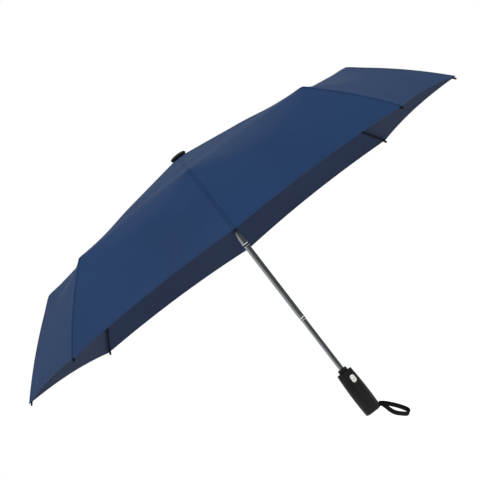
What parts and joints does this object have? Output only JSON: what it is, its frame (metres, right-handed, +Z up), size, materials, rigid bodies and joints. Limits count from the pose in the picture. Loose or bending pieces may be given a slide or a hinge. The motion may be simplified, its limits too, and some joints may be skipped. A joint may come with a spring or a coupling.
{
  "type": "folding umbrella",
  "caption": "Open three-section folding umbrella: navy ribbed canopy, telescoping steel shaft, black grip with push button and wrist strap; canopy folds and shaft collapses.",
  "frame": {"origin": "centre of the handle's flat end face", "axes": "+Z up the shaft from the handle's end to the cap, +X along the first rib, towards the side where the wrist strap leaves the handle"},
  "size_m": [0.9672, 0.9672, 0.6227],
  "materials": {
    "cover_fabric": "navy pongee, fine plain weave",
    "shaft_chrome": "polished",
    "rib_steel": "satin plated strip",
    "tail_rib_black": "black, semi-gloss",
    "fitting_black": "moulded black nylon",
    "grip_soft_touch": "soft-touch coating",
    "button_white": "moulded, slightly glossy",
    "strap_webbing": "black woven webbing",
    "spring_steel": "bright wire"
  },
  "bodies": {
    "handle": {"lower_tube": "shaft_chrome", "main_spring": "spring_steel", "handle_grip": "grip_soft_touch", "handle_core": "fitting_black", "handle_end_cap": "grip_soft_touch", "button_spring": "spring_steel", "strap_pin": "spring_steel", "wrist_strap": "strap_webbing"},
    "button": {"push_button": "button_white"},
    "middle_shaft": {"middle_tube": "shaft_chrome"},
    "crown": {"upper_tube": "shaft_chrome", "top_notch": "fitting_black", "notch_wire": "spring_steel", "ferrule_cap": "fitting_black", "canopy": "cover_fabric"},
    "runner": {"runner": "fitting_black", "runner_wire": "spring_steel"},
    "top_rib_1": {"top_rib_1": "rib_steel"},
    "stretcher_1": {"stretcher_1": "rib_steel"},
    "connecting_rod_1": {"connecting_rod_1": "rib_steel"},
    "middle_rib_1": {"middle_rib_1": "rib_steel"},
    "tail_rib_1": {"tail_rib_1": "tail_rib_black"},
    "top_rib_2": {"top_rib_2": "rib_steel"},
    "stretcher_2": {"stretcher_2": "rib_steel"},
    "connecting_rod_2": {"connecting_rod_2": "rib_steel"},
    "middle_rib_2": {"middle_rib_2": "rib_steel"},
    "tail_rib_2": {"tail_rib_2": "tail_rib_black"},
    "top_rib_3": {"top_rib_3": "rib_steel"},
    "stretcher_3": {"stretcher_3": "rib_steel"},
    "connecting_rod_3": {"connecting_rod_3": "rib_steel"},
    "middle_rib_3": {"middle_rib_3": "rib_steel"},
    "tail_rib_3": {"tail_rib_3": "tail_rib_black"},
    "top_rib_4": {"top_rib_4": "rib_steel"},
    "stretcher_4": {"stretcher_4": "rib_steel"},
    "connecting_rod_4": {"connecting_rod_4": "rib_steel"},
    "middle_rib_4": {"middle_rib_4": "rib_steel"},
    "tail_rib_4": {"tail_rib_4": "tail_rib_black"},
    "top_rib_5": {"top_rib_5": "rib_steel"},
    "stretcher_5": {"stretcher_5": "rib_steel"},
    "connecting_rod_5": {"connecting_rod_5": "rib_steel"},
    "middle_rib_5": {"middle_rib_5": "rib_steel"},
    "tail_rib_5": {"tail_rib_5": "tail_rib_black"},
    "top_rib_6": {"top_rib_6": "rib_steel"},
    "stretcher_6": {"stretcher_6": "rib_steel"},
    "connecting_rod_6": {"connecting_rod_6": "rib_steel"},
    "middle_rib_6": {"middle_rib_6": "rib_steel"},
    "tail_rib_6": {"tail_rib_6": "tail_rib_black"},
    "top_rib_7": {"top_rib_7": "rib_steel"},
    "stretcher_7": {"stretcher_7": "rib_steel"},
    "connecting_rod_7": {"connecting_rod_7": "rib_steel"},
    "middle_rib_7": {"middle_rib_7": "rib_steel"},
    "tail_rib_7": {"tail_rib_7": "tail_rib_black"},
    "top_rib_8": {"top_rib_8": "rib_steel"},
    "stretcher_8": {"stretcher_8": "rib_steel"},
    "connecting_rod_8": {"connecting_rod_8": "rib_steel"},
    "middle_rib_8": {"middle_rib_8": "rib_steel"},
    "tail_rib_8": {"tail_rib_8": "tail_rib_black"}
  },
  "joints": [
    {"name": "shaft_slide", "type": "slide", "parent": "middle_shaft", "child": "crown", "axis": [0, 0, 1], "range_m": [-0.164, 0], "deforming": ["main_spring"]},
    {"name": "lower_slide", "type": "slide", "parent": "handle", "child": "middle_shaft", "axis": [0, 0, 1], "range_m": [-0.1101, 0.0001]},
    {"name": "button_press", "type": "slide", "parent": "handle", "child": "button", "axis": [0.3827, -0.9239, 0], "range_m": [-0.0015, 0], "stiffness_N_per_m": 400, "springref_m": 0.001, "deforming": ["button_spring"]},
    {"name": "canopy_fold", "type": "hinge", "parent": "crown", "child": "top_rib_1", "pos_m": [0.011, 0, 0.569], "axis": [0, 1, 0], "range_deg": [0, 77.84], "deforming": ["canopy"]},
    {"name": "stretcher_1_turn", "type": "hinge", "parent": "top_rib_1", "child": "stretcher_1", "pos_m": [0.09516, 0, 0.55086], "axis": [0, 1, 0], "range_deg": [-155.68, 0.01]},
    {"name": "runner_lift", "type": "hinge", "parent": "stretcher_1", "child": "runner", "pos_m": [0.011, 0, 0.53272], "axis": [0, 1, 0], "range_deg": [-0.01, 77.85]},
    {"name": "connecting_rod_1_turn", "type": "hinge", "parent": "stretcher_1", "child": "connecting_rod_1", "pos_m": [0.07493, 0, 0.5465], "axis": [0, 1, 0], "range_deg": [-0.01, 156.91]},
    {"name": "middle_rib_1_turn", "type": "hinge", "parent": "top_rib_1", "child": "middle_rib_1", "pos_m": [0.17106, 0, 0.54394], "axis": [0, 1, 0], "range_deg": [-177.35, 0.01]},
    {"name": "tail_rib_1_turn", "type": "hinge", "parent": "middle_rib_1", "child": "tail_rib_1", "pos_m": [0.33471, 0, 0.51311], "axis": [0, 1, 0], "range_deg": [-0.01, 145.01]},
    {"name": "top_rib_2_turn", "type": "hinge", "parent": "crown", "child": "top_rib_2", "pos_m": [0.00778, 0.00778, 0.569], "axis": [-0.7071, 0.7071, 0], "range_deg": [-0.01, 77.85]},
    {"name": "stretcher_2_turn", "type": "hinge", "parent": "top_rib_2", "child": "stretcher_2", "pos_m": [0.06729, 0.06729, 0.55086], "axis": [-0.7071, 0.7071, 0], "range_deg": [-155.68, 0.01]},
    {"name": "connecting_rod_2_turn", "type": "hinge", "parent": "stretcher_2", "child": "connecting_rod_2", "pos_m": [0.05298, 0.05298, 0.5465], "axis": [-0.7071, 0.7071, 0], "range_deg": [-0.01, 156.91]},
    {"name": "middle_rib_2_turn", "type": "hinge", "parent": "top_rib_2", "child": "middle_rib_2", "pos_m": [0.12096, 0.12096, 0.54394], "axis": [-0.7071, 0.7071, 0], "range_deg": [-177.35, 0.01]},
    {"name": "tail_rib_2_turn", "type": "hinge", "parent": "middle_rib_2", "child": "tail_rib_2", "pos_m": [0.23668, 0.23668, 0.51311], "axis": [-0.7071, 0.7071, 0], "range_deg": [-0.01, 145.01]},
    {"name": "top_rib_3_turn", "type": "hinge", "parent": "crown", "child": "top_rib_3", "pos_m": [0, 0.011, 0.569], "axis": [-1, 0, 0], "range_deg": [-0.01, 77.85]},
    {"name": "stretcher_3_turn", "type": "hinge", "parent": "top_rib_3", "child": "stretcher_3", "pos_m": [0, 0.09516, 0.55086], "axis": [-1, 0, 0], "range_deg": [-155.68, 0.01]},
    {"name": "connecting_rod_3_turn", "type": "hinge", "parent": "stretcher_3", "child": "connecting_rod_3", "pos_m": [0, 0.07493, 0.5465], "axis": [-1, 0, 0], "range_deg": [-0.01, 156.91]},
    {"name": "middle_rib_3_turn", "type": "hinge", "parent": "top_rib_3", "child": "middle_rib_3", "pos_m": [0, 0.17106, 0.54394], "axis": [-1, 0, 0], "range_deg": [-177.35, 0.01]},
    {"name": "tail_rib_3_turn", "type": "hinge", "parent": "middle_rib_3", "child": "tail_rib_3", "pos_m": [0, 0.33471, 0.51311], "axis": [-1, 0, 0], "range_deg": [-0.01, 145.01]},
    {"name": "top_rib_4_turn", "type": "hinge", "parent": "crown", "child": "top_rib_4", "pos_m": [-0.00778, 0.00778, 0.569], "axis": [-0.7071, -0.7071, 0], "range_deg": [-0.01, 77.85]},
    {"name": "stretcher_4_turn", "type": "hinge", "parent": "top_rib_4", "child": "stretcher_4", "pos_m": [-0.06729, 0.06729, 0.55086], "axis": [-0.7071, -0.7071, 0], "range_deg": [-155.68, 0.01]},
    {"name": "connecting_rod_4_turn", "type": "hinge", "parent": "stretcher_4", "child": "connecting_rod_4", "pos_m": [-0.05298, 0.05298, 0.5465], "axis": [-0.7071, -0.7071, 0], "range_deg": [-0.01, 156.91]},
    {"name": "middle_rib_4_turn", "type": "hinge", "parent": "top_rib_4", "child": "middle_rib_4", "pos_m": [-0.12096, 0.12096, 0.54394], "axis": [-0.7071, -0.7071, 0], "range_deg": [-177.35, 0.01]},
    {"name": "tail_rib_4_turn", "type": "hinge", "parent": "middle_rib_4", "child": "tail_rib_4", "pos_m": [-0.23668, 0.23668, 0.51311], "axis": [-0.7071, -0.7071, 0], "range_deg": [-0.01, 145.01]},
    {"name": "top_rib_5_turn", "type": "hinge", "parent": "crown", "child": "top_rib_5", "pos_m": [-0.011, 0, 0.569], "axis": [0, -1, 0], "range_deg": [-0.01, 77.85]},
    {"name": "stretcher_5_turn", "type": "hinge", "parent": "top_rib_5", "child": "stretcher_5", "pos_m": [-0.09516, 0, 0.55086], "axis": [0, -1, 0], "range_deg": [-155.68, 0.01]},
    {"name": "connecting_rod_5_turn", "type": "hinge", "parent": "stretcher_5", "child": "connecting_rod_5", "pos_m": [-0.07493, 0, 0.5465], "axis": [0, -1, 0], "range_deg": [-0.01, 156.91]},
    {"name": "middle_rib_5_turn", "type": "hinge", "parent": "top_rib_5", "child": "middle_rib_5", "pos_m": [-0.17106, 0, 0.54394], "axis": [0, -1, 0], "range_deg": [-177.35, 0.01]},
    {"name": "tail_rib_5_turn", "type": "hinge", "parent": "middle_rib_5", "child": "tail_rib_5", "pos_m": [-0.33471, 0, 0.51311], "axis": [0, -1, 0], "range_deg": [-0.01, 145.01]},
    {"name": "top_rib_6_turn", "type": "hinge", "parent": "crown", "child": "top_rib_6", "pos_m": [-0.00778, -0.00778, 0.569], "axis": [0.7071, -0.7071, 0], "range_deg": [-0.01, 77.85]},
    {"name": "stretcher_6_turn", "type": "hinge", "parent": "top_rib_6", "child": "stretcher_6", "pos_m": [-0.06729, -0.06729, 0.55086], "axis": [0.7071, -0.7071, 0], "range_deg": [-155.68, 0.01]},
    {"name": "connecting_rod_6_turn", "type": "hinge", "parent": "stretcher_6", "child": "connecting_rod_6", "pos_m": [-0.05298, -0.05298, 0.5465], "axis": [0.7071, -0.7071, 0], "range_deg": [-0.01, 156.91]},
    {"name": "middle_rib_6_turn", "type": "hinge", "parent": "top_rib_6", "child": "middle_rib_6", "pos_m": [-0.12096, -0.12096, 0.54394], "axis": [0.7071, -0.7071, 0], "range_deg": [-177.35, 0.01]},
    {"name": "tail_rib_6_turn", "type": "hinge", "parent": "middle_rib_6", "child": "tail_rib_6", "pos_m": [-0.23668, -0.23668, 0.51311], "axis": [0.7071, -0.7071, 0], "range_deg": [-0.01, 145.01]},
    {"name": "top_rib_7_turn", "type": "hinge", "parent": "crown", "child": "top_rib_7", "pos_m": [0, -0.011, 0.569], "axis": [1, 0, 0], "range_deg": [-0.01, 77.85]},
    {"name": "stretcher_7_turn", "type": "hinge", "parent": "top_rib_7", "child": "stretcher_7", "pos_m": [0, -0.09516, 0.55086], "axis": [1, 0, 0], "range_deg": [-155.68, 0.01]},
    {"name": "connecting_rod_7_turn", "type": "hinge", "parent": "stretcher_7", "child": "connecting_rod_7", "pos_m": [0, -0.07493, 0.5465], "axis": [1, 0, 0], "range_deg": [-0.01, 156.91]},
    {"name": "middle_rib_7_turn", "type": "hinge", "parent": "top_rib_7", "child": "middle_rib_7", "pos_m": [0, -0.17106, 0.54394], "axis": [1, 0, 0], "range_deg": [-177.35, 0.01]},
    {"name": "tail_rib_7_turn", "type": "hinge", "parent": "middle_rib_7", "child": "tail_rib_7", "pos_m": [0, -0.33471, 0.51311], "axis": [1, 0, 0], "range_deg": [-0.01, 145.01]},
    {"name": "top_rib_8_turn", "type": "hinge", "parent": "crown", "child": "top_rib_8", "pos_m": [0.00778, -0.00778, 0.569], "axis": [0.7071, 0.7071, 0], "range_deg": [-0.01, 77.85]},
    {"name": "stretcher_8_turn", "type": "hinge", "parent": "top_rib_8", "child": "stretcher_8", "pos_m": [0.06729, -0.06729, 0.55086], "axis": [0.7071, 0.7071, 0], "range_deg": [-155.68, 0.01]},
    {"name": "connecting_rod_8_turn", "type": "hinge", "parent": "stretcher_8", "child": "connecting_rod_8", "pos_m": [0.05298, -0.05298, 0.5465], "axis": [0.7071, 0.7071, 0], "range_deg": [-0.01, 156.91]},
    {"name": "middle_rib_8_turn", "type": "hinge", "parent": "top_rib_8", "child": "middle_rib_8", "pos_m": [0.12096, -0.12096, 0.54394], "axis": [0.7071, 0.7071, 0], "range_deg": [-177.35, 0.01]},
    {"name": "tail_rib_8_turn", "type": "hinge", "parent": "middle_rib_8", "child": "tail_rib_8", "pos_m": [0.23668, -0.23668, 0.51311], "axis": [0.7071, 0.7071, 0], "range_deg": [-0.01, 145.01]}
  ],
  "couplings": [
    {"joint": "lower_slide", "follows": "shaft_slide", "ratio": 0.67073},
    {"joint": "stretcher_1_turn", "follows": "canopy_fold", "ratio": -2},
    {"joint": "runner_lift", "follows": "canopy_fold", "ratio": 1},
    {"joint": "connecting_rod_1_turn", "follows": "canopy_fold", "ratio": 2.0157},
    {"joint": "middle_rib_1_turn", "follows": "canopy_fold", "ratio": -2.2783},
    {"joint": "tail_rib_1_turn", "follows": "canopy_fold", "ratio": 1.8629},
    {"joint": "top_rib_2_turn", "follows": "canopy_fold", "ratio": 1},
    {"joint": "stretcher_2_turn", "follows": "canopy_fold", "ratio": -2},
    {"joint": "connecting_rod_2_turn", "follows": "canopy_fold", "ratio": 2.0157},
    {"joint": "middle_rib_2_turn", "follows": "canopy_fold", "ratio": -2.2783},
    {"joint": "tail_rib_2_turn", "follows": "canopy_fold", "ratio": 1.8629},
    {"joint": "top_rib_3_turn", "follows": "canopy_fold", "ratio": 1},
    {"joint": "stretcher_3_turn", "follows": "canopy_fold", "ratio": -2},
    {"joint": "connecting_rod_3_turn", "follows": "canopy_fold", "ratio": 2.0157},
    {"joint": "middle_rib_3_turn", "follows": "canopy_fold", "ratio": -2.2783},
    {"joint": "tail_rib_3_turn", "follows": "canopy_fold", "ratio": 1.8629},
    {"joint": "top_rib_4_turn", "follows": "canopy_fold", "ratio": 1},
    {"joint": "stretcher_4_turn", "follows": "canopy_fold", "ratio": -2},
    {"joint": "connecting_rod_4_turn", "follows": "canopy_fold", "ratio": 2.0157},
    {"joint": "middle_rib_4_turn", "follows": "canopy_fold", "ratio": -2.2783},
    {"joint": "tail_rib_4_turn", "follows": "canopy_fold", "ratio": 1.8629},
    {"joint": "top_rib_5_turn", "follows": "canopy_fold", "ratio": 1},
    {"joint": "stretcher_5_turn", "follows": "canopy_fold", "ratio": -2},
    {"joint": "connecting_rod_5_turn", "follows": "canopy_fold", "ratio": 2.0157},
    {"joint": "middle_rib_5_turn", "follows": "canopy_fold", "ratio": -2.2783},
    {"joint": "tail_rib_5_turn", "follows": "canopy_fold", "ratio": 1.8629},
    {"joint": "top_rib_6_turn", "follows": "canopy_fold", "ratio": 1},
    {"joint": "stretcher_6_turn", "follows": "canopy_fold", "ratio": -2},
    {"joint": "connecting_rod_6_turn", "follows": "canopy_fold", "ratio": 2.0157},
    {"joint": "middle_rib_6_turn", "follows": "canopy_fold", "ratio": -2.2783},
    {"joint": "tail_rib_6_turn", "follows": "canopy_fold", "ratio": 1.8629},
    {"joint": "top_rib_7_turn", "follows": "canopy_fold", "ratio": 1},
    {"joint": "stretcher_7_turn", "follows": "canopy_fold", "ratio": -2},
    {"joint": "connecting_rod_7_turn", "follows": "canopy_fold", "ratio": 2.0157},
    {"joint": "middle_rib_7_turn", "follows": "canopy_fold", "ratio": -2.2783},
    {"joint": "tail_rib_7_turn", "follows": "canopy_fold", "ratio": 1.8629},
    {"joint": "top_rib_8_turn", "follows": "canopy_fold", "ratio": 1},
    {"joint": "stretcher_8_turn", "follows": "canopy_fold", "ratio": -2},
    {"joint": "connecting_rod_8_turn", "follows": "canopy_fold", "ratio": 2.0157},
    {"joint": "middle_rib_8_turn", "follows": "canopy_fold", "ratio": -2.2783},
    {"joint": "tail_rib_8_turn", "follows": "canopy_fold", "ratio": 1.8629}
  ]
}
